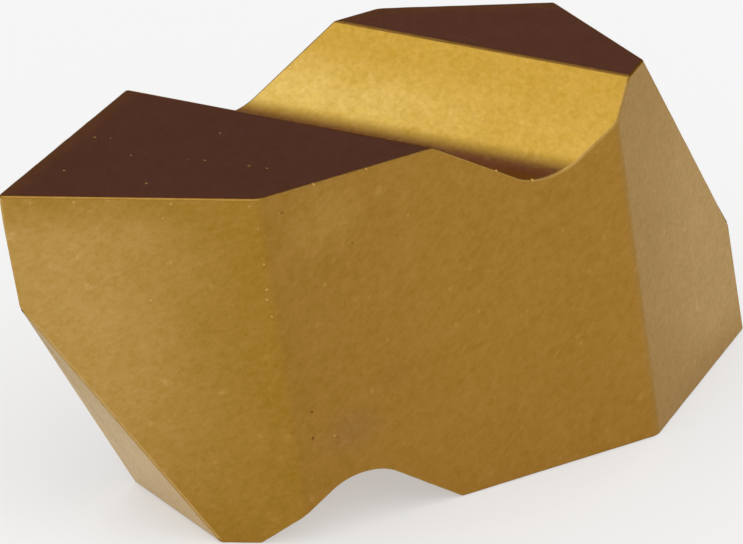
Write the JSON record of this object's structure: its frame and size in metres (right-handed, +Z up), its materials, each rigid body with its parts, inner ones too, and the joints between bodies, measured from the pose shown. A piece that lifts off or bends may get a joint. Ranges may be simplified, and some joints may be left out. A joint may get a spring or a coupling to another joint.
{
  "type": "notched threading insert",
  "caption": "Double-ended carbide threading insert with a V nose at opposite corners and skewed clamp notches across its upper and lower faces.",
  "frame": {"origin": "middle of the insert's length and width, on the lower ground face that it rests on", "axes": "+X along the insert from nose to nose, +Y from one side wall to the other, towards the wall that the clamp pushes against the pocket, +Z up"},
  "size_m": [0.0166, 0.005, 0.0072],
  "materials": {
    "coated_carbide": "satin"
  },
  "bodies": {
    "root": {"insert": "coated_carbide"}
  },
  "joints": []
}
